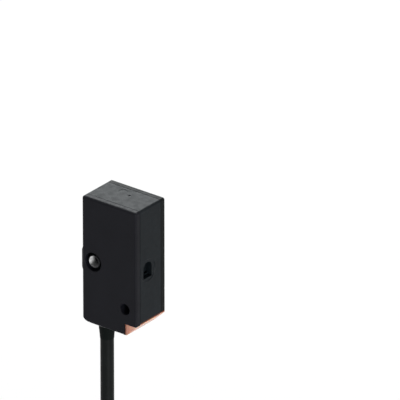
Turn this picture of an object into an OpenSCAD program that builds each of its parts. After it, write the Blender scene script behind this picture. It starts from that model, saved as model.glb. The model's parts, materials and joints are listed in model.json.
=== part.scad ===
// Photoelectric sensor head with its cable, in millimetres.
// The origin is in the middle of the rear face. +Z is up, and the light leaves along +Y.

/* [Head] */
// Width of the head, across its rear face
body_w = 18.5; // [18:0.1:19.5]
// Depth of the head, from its rear face to its front face
body_d = 12.8; // [12.6:0.1:13.2]
// Height of the head
body_h = 37.8; // [37.4:0.1:38.6]
// Radius of the outer edges
edge_r = 0.65; // [0.4:0.05:0.8]
// Radius of the edges round the front face
front_edge_r = 0.35; // [0.3:0.05:0.5]
// Thickness of the side walls
wall = 1.1; // [1:0.05:1.2]
// Thickness of the rear cover
rear_t = 1.9; // [1.8:0.1:2]
// Thickness of the front cover
front_t = 1.8; // [1.7:0.1:2]
// Depth of the fine groove where two shells meet
seam = 0.07; // [0.05:0.01:0.1]

/* [Mounting holes] */
// Diameter of both mounting holes, for an M3 screw
hole_d = 3.2; // [3.1:0.1:3.4]
// Upper hole, from the left side to its axis
upper_hole_inset = 3.8; // [3.7:0.1:3.9]
// Upper hole, from the top to its axis
upper_hole_drop = 18.9; // [18.8:0.1:19.2]
// Lower hole, from the right side to its axis
lower_hole_inset = 3.85; // [3.7:0.05:4]
// Lower hole, from the foot to its axis
lower_hole_rise = 7.95; // [7.65:0.1:8.25]
// Diameter of the recess for the screw head round the upper hole
recess_d = 5.5; // [5.4:0.1:5.6]
// Depth of that recess
recess_depth = 2.4; // [2.3:0.1:2.6]
// How far the flat pad beside the upper hole stands out of the left side
pad_t = 0.3; // [0.2:0.05:0.4]
// Height of that pad
pad_h = 7; // [6.6:0.1:7.4]

/* [Side pocket] */
// Width of the pocket in the right side, along the depth
pocket_w = 3.6; // [3.4:0.1:3.8]
// Height of the pocket, to the top of its arch
pocket_h = 4.7; // [4.5:0.1:5]
// Depth of the pocket
pocket_depth = 2.2; // [1.8:0.1:2.4]
// Distance of the pocket from the rear face
pocket_back = 3.45; // [3.45:0.05:3.6]
// Distance of the arch's top below the head's top
pocket_drop = 16.4; // [16.2:0.1:16.6]
// Diameter of the shallow dish round the pocket
dish_d = 6.9; // [6.6:0.1:7]

/* [Indicator] */
// Width of the indicator light guide, at the right corner of the foot
guide_w = 4; // [3.9:0.05:4.1]
// Height of the light guide
guide_h = 4.1; // [4:0.05:4.2]
// Height of the upright strip that the guide shows on the right side
guide_strip = 0.6; // [0.5:0.05:0.8]

/* [Optics] */
// Width and height of the front window
window_w = 13.9; // [13.5:0.1:14]
window_h = 14.2; // [13.8:0.1:14.4]
// Height of the laser's axis below the top
laser_drop = 4.6; // [4.4:0.1:4.8]
// Diameter of the receiver lens
receiver_d = 7.4; // [7:0.1:7.6]
// Thickness of the circuit board
board_t = 0.6; // [0.5:0.1:0.7]

/* [Cable] */
// Diameter of the cable
cable_d = 3.8; // [3.7:0.1:3.8]
// Distance of the cable's axis from the left side
cable_inset = 3.5; // [3.5:0.1:3.7]
// Distance of the cable's axis from the rear face
cable_back = 6.4; // [6.2:0.1:6.6]
// Length of the boot below the foot
boot_l = 6.3; // [5:0.1:7]
// Radius of the coil, at the middle of its turns
coil_r = 22.4; // [22:0.1:22.8]
// Distance from turn to turn in the coil
coil_pitch = 4; // [3.9:0.05:4.1]

/* [Hidden] */
$fn = 48;
// A hair more than nothing, so that a cut runs past the face it opens
over = 0.5;
// The head's sides, seen from behind with X to the right
left = -body_w / 2;
right = body_w / 2;
top = body_h / 2;
foot = -body_h / 2;
// Depths where one shell ends and the next begins
case_y0 = rear_t;
case_y1 = body_d - front_t;
// The two mounting holes and their bosses
upper_x = left + upper_hole_inset;
upper_z = top - upper_hole_drop;
lower_x = right - lower_hole_inset;
lower_z = foot + lower_hole_rise;
upper_boss_r = 3.6;
lower_boss_r = 2.6;
foot_bevel = [3, 1.5];
// The sleeve stands free in the recess, and its flange lies in the front cover
sleeve_r = 1.85;
sleeve_y0 = 0.4;
sleeve_flange_t = 0.6;
sleeve_flange_r = 2.4;
// The side pocket's middle
pocket_y = pocket_back + pocket_w / 2;
pocket_top = top - pocket_drop;
dish_depth = 0.12;
dish_z = pocket_top - 2.5;
// The board stands behind the optics, on the rear cover's lip
board_y0 = case_y0 + 0.3;
board_y1 = board_y0 + board_t;
fit_gap = 0.1;
// The window's middle, and the optical axes
window_z = top - 1.8 - window_h / 2;
window_rim = 0.8;
window_seat = body_d - 1.2;
gasket_t = 0.2;
laser_z = top - laser_drop;
receiver_z = laser_z - 6.5;
holder_z0 = 3.9;
// The cable's axis where it leaves the foot
cable_x = left + cable_inset;
cable_y = cable_back;
cable_r = cable_d / 2;
jacket_end = foot + 5.6;
boot_top_r = 2.35;
boot_end_r = 1.96;
boot_flange_z = foot + 2;
// The cores inside the head: two pairs, one behind the other, and their solder pads on the board
core_r = 0.45;
core_apart = 1.2;
pads_apart = [1.8, 1.6];
pad_z = foot + 7.8;
// The coil hangs below the head with its axis along the depth, and its first layer is in line with the cable
coil_at = [-5.75, 12.4, -94.4];
coil_layers = 4;
coil_half = 1.5 * coil_pitch;
coil_in = coil_r - coil_half;
coil_out = coil_r + coil_half;
coil_spare = 0.35 * coil_pitch;
ring_r0 = coil_in - cable_r;
ring_r1 = coil_out + coil_spare + cable_r;
ring_half = coil_half + cable_r;
tie_t = 0.9;
tie_w = 3.4;
tie_clocks = [48, 228];
// The cable's route from the jacket's end down to the coil
LEAD = [
    [-5.75, 6.4, -13.3], [-5.75, 6.4, -19.4], [-5.75, 6.4, -26.4], [-5.75, 6.4, -32.4],
    [-5.75, 6.4, -38.4], [-5.75, 6.4, -44.4], [-5.75, 6.4, -49.4], [-5.4, 6.4, -53.1],
    [-4.3, 6.4, -56.7], [-2.5, 6.4, -60], [0.2, 6.4, -63.25]
];
// The way from the coil's right side down to the plug
TAIL = [[24.05, 18.4, -105.25], [24.05, 18.4, -111.5]];
plug_at = [24.05, 18.4, -111.5];
plug_neck = 6;
plug_grip = [10, 7.2, 13];
plug_nose = [8.6, 5.6, 6.5];
contact_pitch = 2;

// A box from its low corner to its high corner
module box(low, high) {
    translate(low) cube(high - low);
}

// A flat shape drawn in X and Z, carried from one depth to another
module along_y(y0, y1) {
    translate([0, y1, 0]) rotate([90, 0, 0]) linear_extrude(y1 - y0) children();
}

// A flat shape drawn in Y and Z, carried from one X to another
module along_x(x0, x1) {
    translate([x0, 0, 0]) rotate([90, 0, 90]) linear_extrude(x1 - x0) children();
}

// A rectangle from its low corner to its high corner
module rect(low, high) {
    translate(low) square(high - low);
}

module rounded_rect(size, r) {
    square([size[0], size[1] - 2 * r], center = true);
    square([size[0] - 2 * r, size[1]], center = true);
    for (x = [-1, 1]) for (z = [-1, 1]) translate([x * (size[0] / 2 - r), z * (size[1] / 2 - r)]) circle(r);
}

// A round rod or bore along the depth
module rod_y(x, z, y0, y1, r) {
    translate([x, y0, z]) rotate([-90, 0, 0]) cylinder(h = y1 - y0, r = r);
}

// A cone along the depth
module cone_y(x, z, y0, y1, r0, r1) {
    translate([x, y0, z]) rotate([-90, 0, 0]) cylinder(h = y1 - y0, r1 = r0, r2 = r1);
}

// Directions over one eighth of a ball, which round a box's edges and corners alike
ROUND = [for (a = [0:22.5:90]) for (b = [0:22.5:90]) [cos(a) * cos(b), sin(a) * cos(b), sin(b)]];

module rounded_box(low, high, r) {
    hull() for (u = ROUND) {
        inset = [for (i = [0:2]) r * (1 - u[i])];
        box(low + inset, high - inset);
    }
}

function unit(v) = v / norm(v);

// A tube along a route. Its end faces stand square to it, or in a plane that faces the way given.
module tube(route, r, sides, ref, start = undef, end = undef) {
    last = len(route) - 1;
    ways = [for (i = [0:last]) unit(route[min(i + 1, last)] - route[max(i - 1, 0)])];
    rings = [
        for (i = [0:last])
            let (t = ways[i], u = unit(cross(t, ref)), v = cross(t, u), face = i == 0 ? start : i == last ? end : undef)
                for (j = [0:sides - 1])
                    let (a = 360 * (j + 0.5) / sides, out = r * (cos(a) * u + sin(a) * v))
                        route[i] + out - (is_undef(face) ? 0 : (face * out) / (face * t)) * t
    ];
    around = [for (j = [0:sides - 1]) j];
    walls = [
        for (i = [0:last - 1]) for (j = around)
            let (k = (j + 1) % sides, a = i * sides, b = a + sides)
                each [[a + j, b + j, b + k], [a + j, b + k, a + k]]
    ];
    caps = [around, [for (j = around) last * sides + sides - 1 - j]];
    polyhedron(rings, concat(walls, caps), convexity = 6);
}

// Points on a smooth curve through four corner points
function curve(p, n) = [
    for (i = [0:n])
        let (t = i / n, s = 1 - t)
            s * s * s * p[0] + 3 * s * s * t * p[1] + 3 * s * t * t * p[2] + t * t * t * p[3]
];

// The head's outline from behind, drawn in by some distance
module outline(inset, step_h) {
    difference() {
        rect([left + inset, foot + inset], [right - inset, top - inset]);
        rect([right - guide_w - inset, foot - 1], [right + 1, foot + step_h + inset]);
        bevel = foot_bevel + [inset, inset] * 0.5;
        polygon([
            [left - 1, foot - 1], [left + bevel[0], foot - 1], [left + bevel[0], foot],
            [left + 0.35 * bevel[0], foot + 0.5 * bevel[1]], [left, foot + bevel[1]], [left - 1, foot + bevel[1]]
        ]);
    }
}

// The flat pad beside the upper hole, with its sloping ends
module side_pad() {
    slope = 0.9;
    h = pad_h / 2;
    along_y(0.45, body_d - edge_r / 2) translate([left, upper_z])
        polygon([[1, -h], [0, -h], [-pad_t, slope - h], [-pad_t, h - slope], [0, h], [1, h]]);
}

// The head as a box, with sharper edges round its front face than elsewhere
module head_box() {
    hull() {
        rounded_box([left, 0, foot], [right, body_d - 2, top], edge_r);
        for (a = [0:22.5:90]) {
            inset = front_edge_r * (1 - cos(a));
            y = body_d - front_edge_r * (1 - sin(a));
            along_y(y - 0.001, y) rounded_rect([body_w - 2 * inset, body_h - 2 * inset], edge_r - inset);
        }
    }
}

// The head's whole outer form, which the three shells share
module head_form(step_h) {
    intersection() {
        union() {
            head_box();
            side_pad();
        }
        along_y(-1, body_d + 1) union() {
            outline(0, step_h);
            rect([left - 1, foot + 5], [left + 1, top + 1]);
        }
    }
}

// One shell's share of the form, with a fine step at each end that meets another shell
module shell_block(y0, y1, step_h, step0, step1) {
    intersection() {
        head_form(step_h);
        union() {
            box([left - 1, y0 + step0, foot - 1], [right + 1, y1 - step1, top + 1]);
            box([left + seam, y0, foot + seam], [right - seam, y1, top - seam]);
            box([left - pad_t + seam, y0, upper_z - pad_h / 2 + 1], [left + 1, y1, upper_z + pad_h / 2 - 1]);
        }
    }
}

// The space inside the case, with the bosses left standing in it
module cavity(gap) {
    difference() {
        rect([left + wall + gap, foot + wall + gap], [right - wall - gap, top - wall - gap]);
        translate([upper_x, upper_z]) circle(upper_boss_r + gap);
        rect([left, upper_z - upper_boss_r - gap], [upper_x, upper_z + upper_boss_r + gap]);
        translate([lower_x, lower_z]) circle(lower_boss_r + gap);
        rect([right - guide_w - wall - gap, foot], [right, lower_z + 0.8 + gap]);
        polygon([[left, foot], [left + foot_bevel[0] + 1.5, foot], [left, foot + foot_bevel[1] + 1]]);
    }
}

module rear_cover() {
    color([0.13, 0.13, 0.14]) difference() {
        union() {
            shell_block(0, case_y0, guide_h - 0.5, 0, seam);
            along_y(case_y0, board_y0) difference() {
                cavity(fit_gap);
                cavity(fit_gap + 0.8);
            }
        }
        rod_y(upper_x, upper_z, -over, case_y0 + over, recess_d / 2);
        cone_y(upper_x, upper_z, -0.01, 0.1, recess_d / 2 + 0.1, recess_d / 2);
        rod_y(lower_x, lower_z, -over, case_y0 + 1, hole_d / 2);
        cone_y(lower_x, lower_z, -0.01, 0.1, hole_d / 2 + 0.1, hole_d / 2);
        // The slope along the lower edge
        along_x(left - 1, right - guide_w - 0.3) translate([0, foot])
            polygon([[-1, -1], [0.6, -1], [0.6, 0], [0, 0.5], [-1, 0.5]]);
    }
}

// The arched pocket's outline, drawn in Y and Z
module pocket_outline(grow) {
    r = pocket_w / 2;
    translate([pocket_y, pocket_top - r]) circle(r + grow);
    rect([pocket_back - grow, pocket_top - pocket_h - grow], [pocket_back + pocket_w + grow, pocket_top - r]);
}

module main_case() {
    color([0.17, 0.18, 0.19]) difference() {
        union() {
            difference() {
                shell_block(case_y0, case_y1, guide_h, seam, seam);
                along_y(case_y0 - over, case_y1 + over) cavity(0);
            }
            // The pocket's walls, standing inward from the right side
            along_x(right - pocket_depth - 0.6, right - wall / 2) pocket_outline(0.6);
            // A thick floor that holds the cable's boot
            box([left + wall / 2, board_y1 + 0.1, foot + wall / 2], [cable_x + 3.4, cable_y + 3.6, boot_flange_z]);
        }
        // The two mounting holes, the upper one with its recess
        rod_y(upper_x, upper_z, case_y0 - over, recess_depth, recess_d / 2);
        rod_y(upper_x, upper_z, case_y0 - over, case_y1 + over, sleeve_r);
        rod_y(lower_x, lower_z, case_y0 - over, case_y1 + over, hole_d / 2);
        // The pocket and the dish round it
        difference() {
            along_x(right - pocket_depth, right + over) pocket_outline(0);
            box(
                [right - pocket_depth - 1, pocket_back + pocket_w - 1.5, pocket_top - pocket_h - 1],
                [right - pocket_depth + 0.8, pocket_back + pocket_w + 1, pocket_top - pocket_h + 0.6]
            );
        }
        translate([right - dish_depth, pocket_y, dish_z]) rotate([0, 90, 0]) cylinder(h = over, r1 = dish_d / 2 - 0.3, r2 = dish_d / 2 + 0.3);
        // The way out for the cable
        translate([cable_x, cable_y, foot - over]) cylinder(h = 4, r = boot_top_r);
        // The slot through which the light guide reaches its lamp
        box([right - guide_w - wall - over, board_y1 + 0.1, foot + 1.2], [right - guide_w + over, board_y1 + 1.6, foot + 2.6]);
        // The groove for the gasket
        along_y(case_y0 - over, case_y0 + 0.4) difference() {
            gasket_path(0.32, 0.15);
            gasket_path(0.8, 0.63);
        }
        // The round mark left by the moulding gate on the top, and the pip beside it
        translate([right - 11.2, 8.8, top - 0.06]) cylinder(h = over, r = 1.3);
        translate([right - 8.3, 7.9, top - 0.12]) cylinder(h = over, r = 0.35);
    }
}

module front_cover() {
    color([0.12, 0.12, 0.13]) difference() {
        shell_block(case_y1, body_d, guide_h, seam, 0);
        // The window's opening, and the seat round it
        translate([0, 0, window_z]) {
            along_y(case_y1 - over, body_d + over)
                rounded_rect([window_w - 2 * window_rim, window_h - 2 * window_rim], 0.8);
            along_y(window_seat, body_d + over) rounded_rect([window_w, window_h], 1.2);
        }
        rod_y(upper_x, upper_z, case_y1 - over, body_d + over, sleeve_r);
        rod_y(upper_x, upper_z, body_d - sleeve_flange_t, body_d + over, sleeve_flange_r);
        rod_y(lower_x, lower_z, case_y1 - over, body_d + over, hole_d / 2);
        cone_y(lower_x, lower_z, body_d - 0.25, body_d + 0.01, hole_d / 2, hole_d / 2 + 0.25);
        // The groove across the front, and the foot's slight slope back
        box([left - 1, body_d - 0.3, foot + 10.5], [right + 1, body_d + 1, foot + 10.9]);
        translate([left - 1, body_d, foot + 4.5]) rotate([-7, 0, 0]) translate([0, 0, -8]) cube([body_w + 2, 3, 8]);
    }
}

module front_window() {
    color([0.25, 0.05, 0.07, 0.6]) translate([0, 0, window_z]) {
        along_y(window_seat + gasket_t, body_d - 0.15) rounded_rect([window_w - 0.1, window_h - 0.1], 1.15);
    }
}

module window_gasket() {
    color([0.08, 0.08, 0.08]) translate([0, 0, window_z]) along_y(window_seat, window_seat + gasket_t) difference() {
        rounded_rect([window_w - 0.1, window_h - 0.1], 1.15);
        rounded_rect([window_w - 2 * window_rim, window_h - 2 * window_rim], 0.8);
    }
}

// The line that the gasket follows: along the case's edge, and inward round the upper hole
module gasket_path(inset, clear) {
    difference() {
        outline(inset, guide_h);
        translate([upper_x, upper_z]) circle(recess_d / 2 + clear);
    }
}

module case_gasket() {
    color([0.1, 0.1, 0.1]) along_y(case_y0, case_y0 + 0.4) difference() {
        gasket_path(0.36, 0.19);
        gasket_path(0.76, 0.59);
    }
}

// A turned sleeve with rounded lips, and a flange that keeps it from being pulled out to the rear
module upper_hole_sleeve() {
    lip = 0.12;
    y1 = body_d - 0.05;
    color([0.78, 0.79, 0.8]) translate([upper_x, 0, upper_z]) rotate([-90, 0, 0]) rotate_extrude() polygon([
        [hole_d / 2, sleeve_y0 + lip], [hole_d / 2 + lip / 3, sleeve_y0 + lip / 3], [hole_d / 2 + lip, sleeve_y0],
        [sleeve_r - lip, sleeve_y0], [sleeve_r - lip / 3, sleeve_y0 + lip / 3], [sleeve_r, sleeve_y0 + lip],
        [sleeve_r, body_d - sleeve_flange_t], [sleeve_flange_r, body_d - sleeve_flange_t],
        [sleeve_flange_r, y1 - lip], [sleeve_flange_r - lip, y1], [hole_d / 2, y1]
    ]);
}

// The guide fills the corner of the foot, and an arm reaches its lamp through the case
module indicator_light_guide() {
    x0 = right - guide_w;
    lamp_x = x0 - wall - 0.7;
    color([0.95, 0.45, 0.22]) {
        along_y(0.3, rear_t) guide_section(guide_h - 0.5);
        along_y(rear_t, body_d - 0.25) guide_section(guide_h);
        box([lamp_x, board_y1 + 0.15, foot + 1.25], [x0 + 0.2, board_y1 + 1.55, foot + 2.55]);
    }
}

// The guide's section: a strip on the right side, and a slope from it to the foot
module guide_section(h) {
    polygon([
        [right - guide_w, foot + 0.5], [right - guide_w + 0.5, foot + 0.15],
        [right, foot + guide_h - guide_strip], [right, foot + h], [right - guide_w, foot + h]
    ]);
}

module indicator_led() {
    x1 = right - guide_w - wall - 0.75;
    color([0.92, 0.9, 0.78]) {
        box([x1 - 0.9, board_y1, foot + 1.2], [x1 - 0.2, board_y1 + 1.3, foot + 2.6]);
        translate([x1 - 0.2, board_y1 + 0.7, foot + 1.9]) rotate([0, 90, 0]) cylinder(h = 0.15, r = 0.45);
    }
}

// The board fills the case behind the optics, and clears both bosses
module main_board() {
    color([0.1, 0.36, 0.2]) along_y(board_y0, board_y1) difference() {
        cavity(0.15);
        for (a = [90, 210, 330]) translate([0.7 * cos(a), laser_z + 0.7 * sin(a)]) circle(0.25);
    }
}

// A folded screening can with its row of vent holes
module shield_can() {
    low = [-1.3, board_y1, -6.3];
    high = [5.3, board_y1 + 1.8, 1.5];
    sheet = 0.2;
    color([0.8, 0.8, 0.78]) difference() {
        box(low, high);
        box(low + [sheet, -over, sheet], high - [sheet, sheet, sheet]);
        for (i = [0:2]) for (k = [0:2]) rod_y(low[0] + 1.65 * (i + 1), low[2] + 1.95 * (k + 1), high[1] - over, high[1] + over, 0.35);
    }
}

// A chip with a chamfered pin-one corner and rows of feet down two sides
module chip(x, z, w, h, feet) {
    t = 0.85;
    along_y(board_y1 + 0.1, board_y1 + t) translate([x, z])
        polygon([[-w / 2, -h / 2], [w / 2, -h / 2], [w / 2, h / 2], [0.4 - w / 2, h / 2], [-w / 2, h / 2 - 0.4]]);
    pitch = h / feet;
    for (s = [-1, 1]) for (i = [0:feet - 1]) {
        z0 = z - h / 2 + (i + 0.5) * pitch - 0.15;
        box([x + s * (w / 2 + 0.1) - 0.25, board_y1, z0], [x + s * (w / 2 + 0.1) + 0.25, board_y1 + 0.25, z0 + 0.3]);
    }
}

module amplifier_chip() {
    color([0.12, 0.12, 0.12]) chip(2, -2.4, 4, 4, 4);
}

module driver_chip() {
    color([0.12, 0.12, 0.12]) chip(-0.8, -8.4, 3, 3, 3);
}

// Small capacitors and resistors, as the board carries them
module chip_parts() {
    color([0.62, 0.5, 0.36]) for (x = [-6.6, -4.4]) for (z = [-4.6, -6.4, -8.2])
        box([x - 0.8, board_y1, z - 0.4], [x + 0.8, board_y1 + 0.6, z + 0.4]);
}

emitter_lens = [11.4, 4.6];
lens_back = 8.7;

// The black carrier that holds both lenses and keeps stray light out of the receiver
module optics_holder() {
    low = [left + wall + 0.15, board_y1, holder_z0];
    high = [right - wall - 0.15, case_y1, top - wall - 0.1];
    color([0.09, 0.09, 0.1]) difference() {
        box(low, high);
        // The hollow over the board, between the two side rails
        box([low[0] + 1.2, low[1] - over, low[2] - over], [high[0] - 1.2, 3.8, high[2] - 1]);
        // The laser's bore and the horn in which its light widens
        rod_y(0, laser_z, low[1], 6.2, 2.9);
        hull() {
            box([-1.4, 6.1, laser_z - 1.4], [1.4, 6.2, laser_z + 1.4]);
            box([-5.2, lens_back, laser_z - 1.9], [5.2, lens_back + 0.1, laser_z + 1.9]);
        }
        translate([0, 7.4, laser_z - 2.2]) cylinder(h = 4.4, r = 0.95);
        box([-emitter_lens[0] / 2, lens_back, laser_z - emitter_lens[1] / 2], [emitter_lens[0] / 2, case_y1 + over, laser_z + emitter_lens[1] / 2]);
        // The receiver's cone and the seat of its lens
        cone_y(0, receiver_z, 3.7, lens_back + 0.01, 0.9, receiver_d / 2 - 0.5);
        rod_y(0, receiver_z, lens_back, case_y1 + over, receiver_d / 2);
    }
}

module diode_mount() {
    color([0.72, 0.66, 0.5]) difference() {
        rod_y(0, laser_z, 4, 6.1, 2.85);
        rod_y(0, laser_z, 3.5, 5.2, 1.9);
        rod_y(0, laser_z, 5, 7, 1.4);
    }
}

module laser_diode() {
    color([0.82, 0.74, 0.5]) {
        rod_y(0, laser_z, 4.2, 5.2, 1.88);
        rod_y(0, laser_z, 5.2, 6.4, 1.35);
        for (a = [90, 210, 330]) rod_y(0.7 * cos(a), laser_z + 0.7 * sin(a), board_y0 - 0.3, 4.2, 0.2);
    }
}

module line_lens() {
    color([0.8, 0.85, 0.9, 0.6]) translate([0, 7.4, laser_z - 2.15]) cylinder(h = 4.3, r = 0.9);
}

// A plano-convex strip that turns the fan of light into a ribbon
module collimator_lens() {
    bulge_r = 15;
    front = case_y1 - 0.1;
    color([0.8, 0.85, 0.9, 0.6]) intersection() {
        box(
            [-emitter_lens[0] / 2 + 0.05, lens_back, laser_z - emitter_lens[1] / 2 + 0.05],
            [emitter_lens[0] / 2 - 0.05, front, laser_z + emitter_lens[1] / 2 - 0.05]
        );
        translate([0, front - bulge_r, laser_z - 5]) cylinder(h = 10, r = bulge_r, $fn = 96);
    }
}

module receiver_lens() {
    bulge_r = 8;
    front = case_y1 - 0.1;
    color([0.8, 0.85, 0.9, 0.6]) intersection() {
        rod_y(0, receiver_z, lens_back, front + 0.05, receiver_d / 2 - 0.05);
        translate([0, front - bulge_r, receiver_z]) sphere(bulge_r, $fn = 96);
    }
}

module polarising_filter() {
    color([0.35, 0.36, 0.4, 0.6]) box([-4.3, case_y1, receiver_z - 3.8], [4.3, case_y1 + 0.3, receiver_z + 3.8]);
}

// A thin plate with one slit, which limits what the photodiode sees
module slit_mask() {
    color([0.3, 0.3, 0.32]) difference() {
        box([-1.8, 3.6, receiver_z - 1.8], [1.8, 3.8, receiver_z + 1.8]);
        box([-0.8, 3, receiver_z - 0.25], [0.8, 4, receiver_z + 0.25]);
    }
}

module photodiode() {
    color([0.2, 0.2, 0.24]) difference() {
        box([-1.3, board_y1, receiver_z - 1.3], [1.3, 3.6, receiver_z + 1.3]);
        box([-0.9, 3.45, receiver_z - 0.9], [0.9, 4, receiver_z + 0.9]);
    }
}

// The moulded boot: a flange inside the case, a neck through its floor and a taper below
module cable_boot() {
    neck_z = boot_flange_z;
    color([0.11, 0.12, 0.12]) translate([cable_x, cable_y, 0]) intersection() {
        rotate_extrude() polygon([
            [cable_r, foot - boot_l], [boot_end_r, foot - boot_l], [boot_end_r + 0.07, foot - 5.2],
            [boot_end_r + 0.17, foot - 4.2], [boot_end_r + 0.26, foot - 3.4], [boot_top_r - 0.05, foot - 2.5],
            [boot_top_r, foot - 1.5],
            [boot_top_r, neck_z], [2.8, neck_z], [2.8, neck_z + 1], [cable_r, neck_z + 1]
        ]);
        box([left + wall + 0.05 - cable_x, -5, foot - boot_l - 1], [5, 5, top]);
    }
}

// A crimped ring that stops the cable from pulling out of the boot
module cable_clamp() {
    color([0.75, 0.75, 0.76]) translate([cable_x, cable_y, boot_flange_z + 1]) difference() {
        cylinder(h = 1.8, r = cable_r + 0.35);
        translate([0, 0, -over]) cylinder(h = 3, r = cable_r);
        translate([0, 0, 0.9]) rotate_extrude() translate([cable_r + 0.45, 0]) circle(0.25, $fn = 24);
    }
}

// One core, from the jacket's end over to its solder pad: left or right, and near the board or behind that pair
module core(side, row) {
    from = [cable_x + side * core_apart / 2, cable_y + (row - 0.5) * core_apart, jacket_end];
    to = [cable_x + side * pads_apart[0] / 2, board_y1, pad_z + row * pads_apart[1]];
    rise = [0, 0, 0.6 * (to[2] - from[2])];
    reach = [0, 0.6 * (from[1] - to[1]), 0];
    tube(curve([from, from + rise, to + reach, to], 8), core_r, 8, [1, 0, 0], [0, 0, 1], [0, 1, 0]);
}

module core_brown() {
    color([0.36, 0.2, 0.1]) core(1, 0);
}

module core_blue() {
    color([0.1, 0.25, 0.6]) core(-1, 0);
}

module core_black() {
    color([0.07, 0.07, 0.07]) core(1, 1);
}

module core_white() {
    color([0.85, 0.85, 0.83]) core(-1, 1);
}

// The cable down to the coil, where its end lies against the coil's outer face
module cable() {
    from_middle = LEAD[len(LEAD) - 1] - coil_at;
    color([0.11, 0.12, 0.12]) tube(LEAD, cable_r, 8, [0, 1, 0], undef, unit([from_middle[0], 0, from_middle[2]]));
}

// The outer form of the coil's turns
module cable_coil() {
    c = 1.4;
    color([0.13, 0.14, 0.14]) translate(coil_at) rotate([90, 0, 0]) rotate_extrude($fn = 96) polygon([
        [ring_r0, c - ring_half], [ring_r0 + c, -ring_half], [ring_r1 - c, -ring_half], [ring_r1, c - ring_half],
        [ring_r1, ring_half - c], [ring_r1 - c, ring_half], [ring_r0 + c, ring_half], [ring_r0, ring_half - c]
    ]);
}

module cable_tail() {
    from_middle = TAIL[0] - coil_at;
    color([0.11, 0.12, 0.12]) tube(TAIL, cable_r, 8, [0, 1, 0], unit([from_middle[0], 0, from_middle[2]]), undef);
}

// The section of a tie round the coil's turns, drawn in the coil's radius and depth, with some play inside
module tie_section(grow, play) {
    c = 1.4;
    a = ring_r0 - play - grow;
    b = ring_r1 + grow;
    h = ring_half + grow;
    polygon([[a, c - h], [a + c, -h], [b - c, -h], [b, c - h], [b, h - c], [b - c, h], [a + c, h], [a, h - c]]);
}

module coil_ties() {
    color([0.85, 0.85, 0.83]) for (clock = tie_clocks) translate(coil_at) rotate([90, 0, 0]) rotate([0, 0, 90 - clock]) {
        translate([0, tie_w / 2, 0]) rotate([90, 0, 0]) linear_extrude(tie_w) difference() {
            tie_section(tie_t, 0.15);
            tie_section(0, 0.15);
        }
        // The tie's lock, on the outside of the coil, and the strap's cut end
        translate([ring_r1 + tie_t - 0.2, -2.5, -2.4]) difference() {
            cube([3.4, 5, 4.8]);
            translate([1.1, 0.6, -1]) cube([1.5, 3.8, 3]);
        }
        translate([ring_r1 + tie_t + 1, -1.6, 2]) cube([1.1, 3.2, 3.4]);
    }
}

// The plug's grip: a rounded block with finger grooves, and a neck round the cable
module plug_grip() {
    z1 = plug_at[2] - plug_neck;
    z0 = z1 - plug_grip[2];
    half = [plug_grip[0] / 2, plug_grip[1] / 2, 0];
    at = [plug_at[0], plug_at[1], 0];
    color([0.12, 0.12, 0.13]) difference() {
        union() {
            rounded_box(at - half + [0, 0, z0], at + half + [0, 0, z1], 0.9);
            translate([at[0], at[1], z1 - 0.5]) cylinder(h = plug_neck + 0.5, r1 = 2.9, r2 = 2.35);
        }
        for (s = [-1, 1]) for (i = [0:3]) {
            z = z1 - 3 - 1.9 * i;
            box([at[0] + s * half[0] - 0.35, at[1] - 5, z - 0.45], [at[0] + s * half[0] + 0.35, at[1] + 5, z + 0.45]);
        }
        box([at[0] - 4.35, at[1] - 2.85, z0 - over], [at[0] + 4.35, at[1] + 2.85, z0 + 2]);
    }
}

// The contact carrier, with a cavity for each contact and two keys along one side
module plug_insert() {
    z1 = plug_at[2] - plug_neck - plug_grip[2] + 2;
    z0 = z1 - 2 - plug_nose[2];
    half = [plug_nose[0] / 2, plug_nose[1] / 2];
    color([0.35, 0.36, 0.38]) translate([plug_at[0], plug_at[1], 0]) difference() {
        union() {
            box([-half[0], -half[1], z0], [half[0], half[1], z1]);
            for (x = [-2.6, 2.6]) box([x - 0.5, half[1] - 0.1, z0 + 0.8], [x + 0.5, half[1] + 0.5, z1 - 2.1]);
        }
        for (i = [0:3]) {
            x = contact_pitch * (i - 1.5);
            box([x - 0.6, -0.9, z0 - over], [x + 0.6, 0.9, z0 + 6]);
        }
    }
}

// Four forked contacts, each standing in its cavity
module plug_contacts() {
    z0 = plug_at[2] - plug_neck - plug_grip[2] - plug_nose[2];
    color([0.85, 0.66, 0.3]) for (i = [0:3]) translate([plug_at[0] + contact_pitch * (i - 1.5), plug_at[1], 0]) {
        box([-0.35, -0.7, z0 + 4.6], [0.35, 0.7, z0 + 6]);
        for (s = [-1, 1]) box([-0.35, s * 0.55 - 0.15, z0 + 0.6], [0.35, s * 0.55 + 0.15, z0 + 4.6]);
    }
}

rear_cover();
main_case();
front_cover();
front_window();
window_gasket();
case_gasket();
upper_hole_sleeve();
indicator_light_guide();
indicator_led();
main_board();
shield_can();
amplifier_chip();
driver_chip();
chip_parts();
optics_holder();
diode_mount();
laser_diode();
line_lens();
collimator_lens();
receiver_lens();
polarising_filter();
slit_mask();
photodiode();
cable_boot();
cable_clamp();
core_brown();
core_blue();
core_black();
core_white();
cable();
cable_coil();
cable_tail();
coil_ties();
plug_grip();
plug_insert();
plug_contacts();
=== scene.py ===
import json
import math

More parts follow.
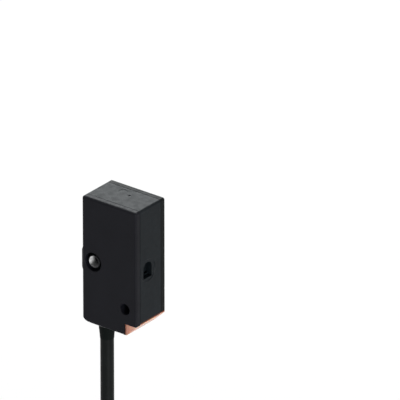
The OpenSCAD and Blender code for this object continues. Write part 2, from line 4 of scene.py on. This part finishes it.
import bpy
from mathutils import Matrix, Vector


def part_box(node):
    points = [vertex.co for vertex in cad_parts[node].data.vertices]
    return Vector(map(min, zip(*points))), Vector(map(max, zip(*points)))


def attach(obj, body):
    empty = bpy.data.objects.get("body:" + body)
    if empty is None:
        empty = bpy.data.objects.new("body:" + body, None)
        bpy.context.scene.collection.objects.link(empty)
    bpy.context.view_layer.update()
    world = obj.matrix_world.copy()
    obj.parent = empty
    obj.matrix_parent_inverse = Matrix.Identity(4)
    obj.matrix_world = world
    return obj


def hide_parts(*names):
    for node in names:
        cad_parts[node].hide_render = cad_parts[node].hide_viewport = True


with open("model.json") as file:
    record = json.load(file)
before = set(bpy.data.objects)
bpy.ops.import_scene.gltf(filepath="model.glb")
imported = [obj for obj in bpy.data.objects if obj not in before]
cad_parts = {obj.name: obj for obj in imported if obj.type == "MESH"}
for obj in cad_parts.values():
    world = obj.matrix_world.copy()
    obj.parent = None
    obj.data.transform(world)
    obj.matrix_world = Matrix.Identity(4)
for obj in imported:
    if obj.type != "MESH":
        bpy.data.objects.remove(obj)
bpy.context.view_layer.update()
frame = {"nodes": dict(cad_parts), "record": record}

MM = 0.001
scene = bpy.context.scene

# Camera: a long lens at the photograph's angle, with the head left of and below the middle
AZIMUTH, ELEVATION = math.radians(37.79), math.radians(26.06)
LENS, SENSOR_WIDTH, DISTANCE = 1000, 36, 2.998
CLIP = (0.05, 20)
HEAD_MIDDLE = Vector((0, 6.4, 0)) * MM
FRAME_OFFSET = (20.64 * MM, 16.05 * MM)


def make_camera():
    back = Vector((
        math.sin(AZIMUTH) * math.cos(ELEVATION),
        -math.cos(AZIMUTH) * math.cos(ELEVATION),
        math.sin(ELEVATION),
    ))
    right = Vector((math.cos(AZIMUTH), math.sin(AZIMUTH), 0))
    up = back.cross(right)
    data = bpy.data.cameras.new("camera")
    data.lens = LENS
    data.sensor_width = SENSOR_WIDTH
    data.clip_start, data.clip_end = CLIP
    camera = bpy.data.objects.new("camera", data)
    camera.location = HEAD_MIDDLE + right * FRAME_OFFSET[0] + up * FRAME_OFFSET[1] + back * DISTANCE
    camera.rotation_mode = "QUATERNION"
    camera.rotation_quaternion = (-back).to_track_quat("-Z", "Y")
    scene.collection.objects.link(camera)
    scene.camera = camera


# The cable, in millimetres: its diameter, its route down to the coil, and its way on from the coil to the plug
CABLE_D = 3.8
LEAD = [
    (-5.75, 6.4, -13.3), (-5.75, 6.4, -19.4), (-5.75, 6.4, -26.4), (-5.75, 6.4, -32.4),
    (-5.75, 6.4, -38.4), (-5.75, 6.4, -44.4), (-5.75, 6.4, -49.4), (-5.4, 6.4, -53.1),
    (-4.3, 6.4, -56.7), (-2.55, 6.4, -60), (-0.2, 6.4, -62.9), (2.7, 6.4, -65.25),
]
TAIL = [(24.05, 18.4, -99.6), (24.05, 18.4, -105.25), (24.05, 18.4, -111.5)]
# The coil: its centre, the step from turn to turn and from layer to layer, and its outermost radius
COIL_AT = Vector((-5.75, 12.4, -94.4))
COIL_PITCH = 4
COIL_LAYERS, COIL_TURNS = 4, 13
COIL_OUT = 29.8
# Clock angles where the cable comes onto the coil and leaves it, and the angle over which it changes layer
COIL_START, COIL_END, STEP = 22.9, 90, 110
POINTS_A_TURN = 24


def coil_route():
    """The turns lie in flat spirals side by side: one goes inward, the next outward."""
    total = 360 * COIL_TURNS + COIL_END - COIL_START
    layer_angle = total / COIL_LAYERS
    count = round(total / 360 * POINTS_A_TURN)
    route = []
    for i in range(count + 1):
        gone = total * i / count
        layer = min(int(gone / layer_angle), COIL_LAYERS - 1)
        inside = gone - layer * layer_angle
        inward = inside if layer % 2 == 0 else layer_angle - inside
        radius = COIL_OUT - COIL_PITCH * inward / 360
        # Half of each step lies before the change of layer, and half after it
        shift = 0
        for k in range(1, COIL_LAYERS):
            s = min(max((gone - k * layer_angle) / STEP + 0.5, 0), 1)
            shift += s * s * (3 - 2 * s)
        depth = COIL_PITCH * (shift - (COIL_LAYERS - 1) / 2)
        clock = math.radians(COIL_START + gone)
        route.append(tuple(COIL_AT + Vector((radius * math.sin(clock), depth, radius * math.cos(clock)))))
    return route


def make_cable():
    route = LEAD + coil_route() + TAIL
    data = bpy.data.curves.new("cable_run", "CURVE")
    data.dimensions = "3D"
    data.resolution_u = 3
    data.bevel_depth = 1
    data.bevel_resolution = 4
    data.use_fill_caps = True
    spline = data.splines.new("BEZIER")
    spline.bezier_points.add(len(route) - 1)
    for point, place in zip(spline.bezier_points, route):
        point.co = Vector(place) * MM
        point.radius = CABLE_D / 2 * MM
        point.handle_left_type = point.handle_right_type = "AUTO"
    cable = bpy.data.objects.new("cable_run", data)
    scene.collection.objects.link(cable)
    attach(cable, "root")
    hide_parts("cable", "cable_coil", "cable_tail")
    return cable


# Materials: the radius of the sleeve's bore, and the width of the light guide
BORE_R = 1.6 * MM
GUIDE_W = 4 * MM


class Shader:
    """A material with one Principled shader, and short ways to add nodes to it."""

    def __init__(self, name, color, roughness, metallic=0.0, specular=0.5, **sockets):
        self.material = bpy.data.materials.new(name)
        self.material.use_nodes = True
        self.tree = self.material.node_tree
        self.shader = self.tree.nodes["Principled BSDF"]
        self.set("Base Color", (*color, 1))
        self.set("Roughness", roughness)
        self.set("Metallic", metallic)
        self.set("Specular IOR Level", specular)
        for socket, value in sockets.items():
            self.set(socket.replace("_", " "), value)
        self.place = self.add("ShaderNodeTexCoord").outputs["Object"]
        self.normal = None

    def set(self, socket, value):
        self.shader.inputs[socket].default_value = value

    def add(self, kind, **props):
        node = self.tree.nodes.new(kind)
        for name, value in props.items():
            setattr(node, name, value)
        return node

    def link(self, source, target):
        self.tree.links.new(source, target)

    def math(self, operation, first, second):
        node = self.add("ShaderNodeMath", operation=operation)
        self.link(first, node.inputs[0])
        self.link(second, node.inputs[1])
        return node.outputs["Value"]

    def axes(self, vector):
        """The vector's X, Y and Z as three outputs."""
        node = self.add("ShaderNodeSeparateXYZ")
        self.link(vector, node.inputs["Vector"])
        return node.outputs

    def noise(self, size_mm, detail=2.0, rough=0.5, stretch=(1, 1, 1)):
        """Noise whose cells are about size_mm across, in the part's own frame."""
        mapping = self.add("ShaderNodeMapping")
        mapping.inputs["Scale"].default_value = stretch
        self.link(self.place, mapping.inputs["Vector"])
        node = self.add("ShaderNodeTexNoise")
        node.inputs["Scale"].default_value = 1 / (size_mm * MM)
        node.inputs["Detail"].default_value = detail
        node.inputs["Roughness"].default_value = rough
        self.link(mapping.outputs["Vector"], node.inputs["Vector"])
        return node.outputs["Fac"]

    def spread(self, source, low, high, at=(0.35, 0.65)):
        """A value that runs from low to high where the source runs through the stretch at."""
        node = self.add("ShaderNodeMapRange")
        node.inputs["From Min"].default_value, node.inputs["From Max"].default_value = at
        node.inputs["To Min"].default_value, node.inputs["To Max"].default_value = low, high
        self.link(source, node.inputs["Value"])
        return node.outputs["Result"]

    def tint(self, source, dark, light, at=(0.3, 0.7)):
        """A colour that runs from dark to light with the source."""
        node = self.add("ShaderNodeValToRGB")
        self.ramp = node.color_ramp
        self.ramp.elements[0].position, self.ramp.elements[1].position = at
        self.ramp.elements[0].color = (*dark, 1)
        self.ramp.elements[1].color = (*light, 1)
        self.link(source, node.inputs["Fac"])
        self.link(node.outputs["Color"], self.shader.inputs["Base Color"])

    def rough(self, source, low, high):
        self.link(self.spread(source, low, high), self.shader.inputs["Roughness"])

    def bump(self, source, height_mm, strength=1.0):
        node = self.add("ShaderNodeBump")
        node.inputs["Strength"].default_value = strength
        node.inputs["Distance"].default_value = height_mm * MM
        self.link(source, node.inputs["Height"])
        if self.normal is not None:
            self.link(self.normal, node.inputs["Normal"])
        self.normal = node.outputs["Normal"]
        self.link(self.normal, self.shader.inputs["Normal"])


def grained_plastic(name, color, roughness=0.42, specular=0.08, grain_mm=0.12, depth_mm=0.004):
    """Moulded plastic with a spark-eroded grain, slightly smoother patches and a faint drift of colour."""
    s = Shader(name, color, roughness, specular=specular)
    drift = s.noise(7, 3)
    s.tint(drift, [c * 0.88 for c in color], [c * 1.12 for c in color])
    s.rough(s.noise(1.6, 3), roughness - 0.05, roughness + 0.05)
    s.bump(s.noise(grain_mm, 3, 0.6), depth_mm)
    s.bump(s.noise(3.5, 2), 0.006)
    return s.material


def satin_jacket(name, color):
    """Extruded jacket: fine streaks, a little waviness and soft handling marks."""
    s = Shader(name, color, 0.42, specular=0.08)
    s.tint(s.noise(5, 3), [c * 0.8 for c in color], [c * 1.25 for c in color])
    s.rough(s.noise(1.2, 3), 0.36, 0.5)
    s.bump(s.noise(0.25, 3), 0.008)
    s.bump(s.noise(2.4, 2), 0.03)
    return s.material


def turned_metal(name, color, roughness=0.22, ring_mm=0.18, axis="Y"):
    """Turned metal, with fine tool rings along the stated axis and a faint haze."""
    s = Shader(name, color, roughness, metallic=1.0)
    wave = s.add("ShaderNodeTexWave", wave_type="BANDS", bands_direction=axis)
    wave.inputs["Scale"].default_value = 1 / (ring_mm * MM) / 20
    wave.inputs["Distortion"].default_value = 0.6
    s.link(s.place, wave.inputs["Vector"])
    s.bump(wave.outputs["Fac"], 0.0006)
    s.rough(s.noise(0.7, 3), roughness - 0.04, roughness + 0.06)
    s.tint(s.noise(1.5, 2), [c * 0.9 for c in color], color)
    return s.material


def sleeve_metal(name):
    """The sleeve's bore is bright near its ends; painted shade makes it dull and dark deeper in, on its outside and
    towards the bottom of the bore.
    """
    low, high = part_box("upper_hole_sleeve")
    s = Shader(name, (0.8, 0.8, 0.8), 0.45, metallic=0.6, specular=0.3)
    centred = s.add("ShaderNodeMapping")
    centred.inputs["Scale"].default_value = (1, 0, 1)
    centred.inputs["Location"].default_value = (-(low[0] + high[0]) / 2, 0, -(low[2] + high[2]) / 2)
    s.link(s.place, centred.inputs["Vector"])
    from_axis = centred.outputs["Vector"]
    radius = s.add("ShaderNodeVectorMath", operation="LENGTH")
    s.link(from_axis, radius.inputs[0])
    depth = s.axes(s.place)["Y"]
    # Painted shade: the sleeve is painted dark on its outside, deep in the rear of its bore and towards the bore's
    # bottom
    inside = s.spread(radius.outputs["Value"], 1, 0, at=(BORE_R + 0.005 * MM, BORE_R + 0.04 * MM))
    mouth = s.spread(depth, 1, 0, at=(low[1] + 1.6 * MM, low[1] + 2.8 * MM))
    lower_wall_shade = s.spread(s.axes(from_axis)["Z"], 0.22, 1, at=(-1.15 * MM, -0.5 * MM))
    rear_end = s.math("MULTIPLY", s.math("MULTIPLY", inside, mouth), lower_wall_shade)
    front_end = s.spread(depth, 0, 0.75, at=(high[1] - 1.6 * MM, high[1] - 0.6 * MM))
    bright = s.math("MAXIMUM", rear_end, front_end)
    # The dark colour of this tint is painted shade, not the metal's own colour
    s.tint(bright, (0.025, 0.026, 0.028), (0.9, 0.9, 0.9), at=(0, 1))
    s.rough(s.noise(0.7, 3), 0.42, 0.55)
    s.bump(s.noise(0.12, 2, stretch=(1, 0.2, 1)), 0.0008)
    return s.material


def sheet_metal(name, color):
    """Tinned sheet with a grain along one way and small dull spots."""
    s = Shader(name, color, 0.3, metallic=1.0)
    s.tint(s.noise(2.2, 4), [c * 0.82 for c in color], color)
    s.rough(s.noise(0.5, 3, stretch=(1, 1, 0.12)), 0.22, 0.42)
    s.bump(s.noise(0.12, 2, stretch=(1, 1, 0.08)), 0.002)
    return s.material


def amber_guide(name):
    """Cast light guide: painted shade darkens it where the housing grips it, amber inside, and pale at its outer
    corner.
    """
    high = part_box("indicator_light_guide")[1]
    s = Shader(
        name, (0.7, 0.25, 0.15), 0.35, specular=0.08, Transmission_Weight=0.2, IOR=1.49,
        Subsurface_Weight=0.35, Subsurface_Radius=(2.5 * MM, 0.9 * MM, 0.4 * MM), Subsurface_Scale=1.0,
    )
    at = s.axes(s.place)
    # Painted shade: the guide is painted dark towards its inner side and its top edge, where it meets the housing
    across = s.spread(at["X"], 0, 1, at=(high[0] - GUIDE_W, high[0]))
    below = s.spread(at["Z"], 1, 0, at=(high[2] - 0.62 * MM, high[2] - 0.32 * MM))
    flow = s.spread(s.noise(2.8, 3), 0.85, 1)
    shade_to_pale = s.math("MULTIPLY", s.math("MINIMUM", across, below), flow)
    # The dark end of this tint is painted shade
    s.tint(shade_to_pale, (0.09, 0.025, 0.011), (0.72, 0.46, 0.36), at=(0, 1))
    amber = s.ramp.elements.new(0.14)
    amber.color = (0.55, 0.25, 0.18, 1)
    s.rough(s.noise(0.8, 3), 0.28, 0.42)
    s.bump(s.noise(0.4, 2), 0.006)
    return s.material


def clear_plastic(name, color, roughness=0.03, transmission=1.0, ior=1.5):
    """Polished optical plastic with faint moulding waves."""
    s = Shader(name, color, roughness, Transmission_Weight=transmission, IOR=ior)
    s.rough(s.noise(2.0, 3), roughness, roughness + 0.04)
    s.bump(s.noise(3.0, 2), 0.002)
    return s.material


def board_finish(name):
    """Solder resist over copper: tracks show as a slightly paler, raised pattern."""
    s = Shader(name, (0.02, 0.15, 0.06), 0.3)
    brick = s.add("ShaderNodeTexBrick", offset=0.5, squash=0.7, squash_frequency=3)
    brick.inputs["Scale"].default_value = 1 / (4.5 * MM)
    brick.inputs["Mortar Size"].default_value = 0.035
    turn = s.add("ShaderNodeMapping")
    turn.inputs["Rotation"].default_value = (math.radians(90), 0, 0)
    s.link(s.place, turn.inputs["Vector"])
    s.link(turn.outputs["Vector"], brick.inputs["Vector"])
    s.tint(brick.outputs["Fac"], (0.012, 0.11, 0.045), (0.04, 0.24, 0.09), at=(0.1, 0.9))
    s.bump(brick.outputs["Fac"], 0.03)
    s.bump(s.noise(0.6, 2), 0.004)
    s.rough(s.noise(1.1, 2), 0.22, 0.36)
    return s.material


def smooth_plastic(name, color, roughness=0.35, specular=0.5):
    """Plain moulded plastic: a slight mottling in colour and gloss."""
    s = Shader(name, color, roughness, specular=specular)
    s.tint(s.noise(2.5, 3), [c * 0.86 for c in color], [min(c * 1.1, 1) for c in color])
    s.rough(s.noise(0.9, 3), roughness - 0.06, roughness + 0.08)
    s.bump(s.noise(0.3, 2), 0.004)
    return s.material


def speckled_ceramic(name):
    s = Shader(name, (0.42, 0.3, 0.17), 0.45)
    s.tint(s.noise(0.25, 4, 0.7), (0.3, 0.2, 0.1), (0.55, 0.42, 0.27))
    s.bump(s.noise(0.15, 2), 0.003)
    return s.material


def dress_nodes():
    """Each CAD node gets its material by its slot in the record."""
    finishes = {
        "cover_plastic": grained_plastic("cover_plastic", (0.0053, 0.0055, 0.0078)),
        "case_plastic": grained_plastic("case_plastic", (0.005, 0.007, 0.0087)),
        "window_red": clear_plastic("window_red", (0.42, 0.01, 0.02), 0.02),
        "seal_rubber": smooth_plastic("seal_rubber", (0.015, 0.015, 0.015), 0.7, 0.3),
        "sleeve_metal": sleeve_metal("sleeve_metal"),
        "guide_amber": amber_guide("guide_amber"),
        "board_green": board_finish("board_green"),
        "can_metal": sheet_metal("can_metal", (0.78, 0.78, 0.76)),
        "chip_black": grained_plastic("chip_black", (0.02, 0.02, 0.021), 0.55, 0.4, 0.08, 0.004),
        "ceramic": speckled_ceramic("ceramic"),
        "led_white": smooth_plastic("led_white", (0.8, 0.76, 0.55), 0.3),
        "holder_black": grained_plastic("holder_black", (0.01, 0.01, 0.011), 0.7, 0.25),
        "diode_metal": turned_metal("diode_metal", (0.86, 0.66, 0.32)),
        "clear_optic": clear_plastic("clear_optic", (0.95, 0.97, 1.0), 0.01),
        "filter_film": clear_plastic("filter_film", (0.35, 0.36, 0.4), 0.05),
        "jacket": satin_jacket("jacket", (0.0036, 0.0047, 0.0044)),
        "brown": smooth_plastic("brown", (0.11, 0.04, 0.015)),
        "blue": smooth_plastic("blue", (0.02, 0.08, 0.4)),
        "black": smooth_plastic("black", (0.01, 0.01, 0.01)),
        "white": smooth_plastic("white", (0.75, 0.75, 0.72)),
        "tie_nylon": smooth_plastic("tie_nylon", (0.62, 0.62, 0.56), 0.4),
        "plug_plastic": grained_plastic("plug_plastic", (0.014, 0.014, 0.016), 0.5),
        "insert_plastic": smooth_plastic("insert_plastic", (0.07, 0.075, 0.08), 0.35),
        "contact_metal": turned_metal("contact_metal", (0.95, 0.7, 0.3), 0.18, 0.3, "Z"),
    }
    for part in frame["record"]["subparts"]:
        data = frame["nodes"][part["node"]].data
        data.materials.clear()
        data.materials.append(finishes[part["material_slot"]])
    # These two are a little darker than what shares their slot: painted shade on the front cover and on the boot,
    # which lies in the head's shadow
    shaded_front_plastic = grained_plastic("shaded_front_plastic", (0.0042, 0.0052, 0.0052), 0.42, 0.055)
    shaded_boot_rubber = grained_plastic("shaded_boot_rubber", (0.0036, 0.0051, 0.0047), 0.5, 0.03)
    frame["nodes"]["front_cover"].data.materials[0] = shaded_front_plastic
    frame["nodes"]["cable_boot"].data.materials[0] = shaded_boot_rubber
    return finishes


# Floor, light and background
FLOOR_Z = -160
FLOOR_HALF = 3.0
PALE = (0.9, 0.9, 0.9)
# How much of the floor that the camera sees is plain white, and how strong the world's light is
FLOOR_GLOW = 0.85
WORLD_LIGHT = 0.38
# Soft lights, all aimed at the head: place, size, power and colour
LIGHTS = {
    "top_soft": ((-0.1, 0.2, 0.9), (0.9, 0.9), 5.5, (1, 1, 1)),
    "back_sheen": ((-0.5, 0.75, 0.42), (0.7, 0.45), 4.7, (0.94, 0.985, 1)),
    "right_card": ((0.85, -0.5, -0.07), (0.45, 0.16), 8.3, (1, 1, 1)),
}


def rays_of_view(tree):
    """1 for the rays that show the surroundings to the camera, also through metal and glass, and 0 for the rest."""
    rays = tree.nodes.new("ShaderNodeLightPath")
    seen = rays.outputs["Is Camera Ray"]
    for kind in ("Is Glossy Ray", "Is Transmission Ray"):
        either = tree.nodes.new("ShaderNodeMath")
        either.operation = "MAXIMUM"
        tree.links.new(seen, either.inputs[0])
        tree.links.new(rays.outputs[kind], either.inputs[1])
        seen = either.outputs["Value"]
    return seen


def make_stage():
    mesh = bpy.data.meshes.new("floor")
    corners = [(x * FLOOR_HALF, y * FLOOR_HALF, 0) for x, y in ((-1, -1), (1, -1), (1, 1), (-1, 1))]
    mesh.from_pydata(corners, [], [(0, 1, 2, 3)])
    floor = bpy.data.objects.new("floor", mesh)
    floor.location.z = FLOOR_Z * MM
    scene.collection.objects.link(floor)
    paint = Shader("floor_paint", PALE, 0.9, specular=0.0)
    paint.bump(paint.noise(6, 2), 0.01)
    glow = paint.add("ShaderNodeEmission")
    glow.inputs["Color"].default_value = (1, 1, 1, 1)
    mix = paint.add("ShaderNodeMixShader")
    weight = paint.add("ShaderNodeMath", operation="MULTIPLY")
    weight.inputs[1].default_value = FLOOR_GLOW
    paint.link(rays_of_view(paint.tree), weight.inputs[0])
    paint.link(weight.outputs["Value"], mix.inputs["Fac"])
    paint.link(paint.shader.outputs["BSDF"], mix.inputs[1])
    paint.link(glow.outputs["Emission"], mix.inputs[2])
    # From below the floor is clear, so that the underside can be looked at
    side = paint.add("ShaderNodeNewGeometry")
    clear = paint.add("ShaderNodeBsdfTransparent")
    one_sided = paint.add("ShaderNodeMixShader")
    paint.link(side.outputs["Backfacing"], one_sided.inputs["Fac"])
    paint.link(mix.outputs["Shader"], one_sided.inputs[1])
    paint.link(clear.outputs["BSDF"], one_sided.inputs[2])
    paint.link(one_sided.outputs["Shader"], paint.tree.nodes["Material Output"].inputs["Surface"])
    mesh.materials.append(paint.material)


def area_light(name, place, size, power, color):
    data = bpy.data.lights.new(name, "AREA")
    data.shape = "RECTANGLE"
    data.size, data.size_y = size
    data.energy = power
    data.color = color
    light = bpy.data.objects.new(name, data)
    light.location = place
    light.rotation_mode = "QUATERNION"
    light.rotation_quaternion = (-Vector(place)).to_track_quat("-Z", "Y")
    scene.collection.objects.link(light)


def make_lights():
    world = bpy.data.worlds.new("world")
    world.use_nodes = True
    tree = world.node_tree
    background = tree.nodes["Background"]
    background.inputs["Color"].default_value = (1, 1, 1, 1)
    strength = tree.nodes.new("ShaderNodeMath")
    strength.operation = "MULTIPLY_ADD"
    strength.inputs[1].default_value = 1 - WORLD_LIGHT
    strength.inputs[2].default_value = WORLD_LIGHT
    tree.links.new(rays_of_view(tree), strength.inputs[0])
    tree.links.new(strength.outputs["Value"], background.inputs["Strength"])
    scene.world = world
    for name, settings in LIGHTS.items():
        area_light(name, *settings)


scene.view_settings.view_transform = "Standard"
make_camera()
cable = make_cable()
finishes = dress_nodes()
cable.data.materials.append(finishes["jacket"])
make_stage()
make_lights()
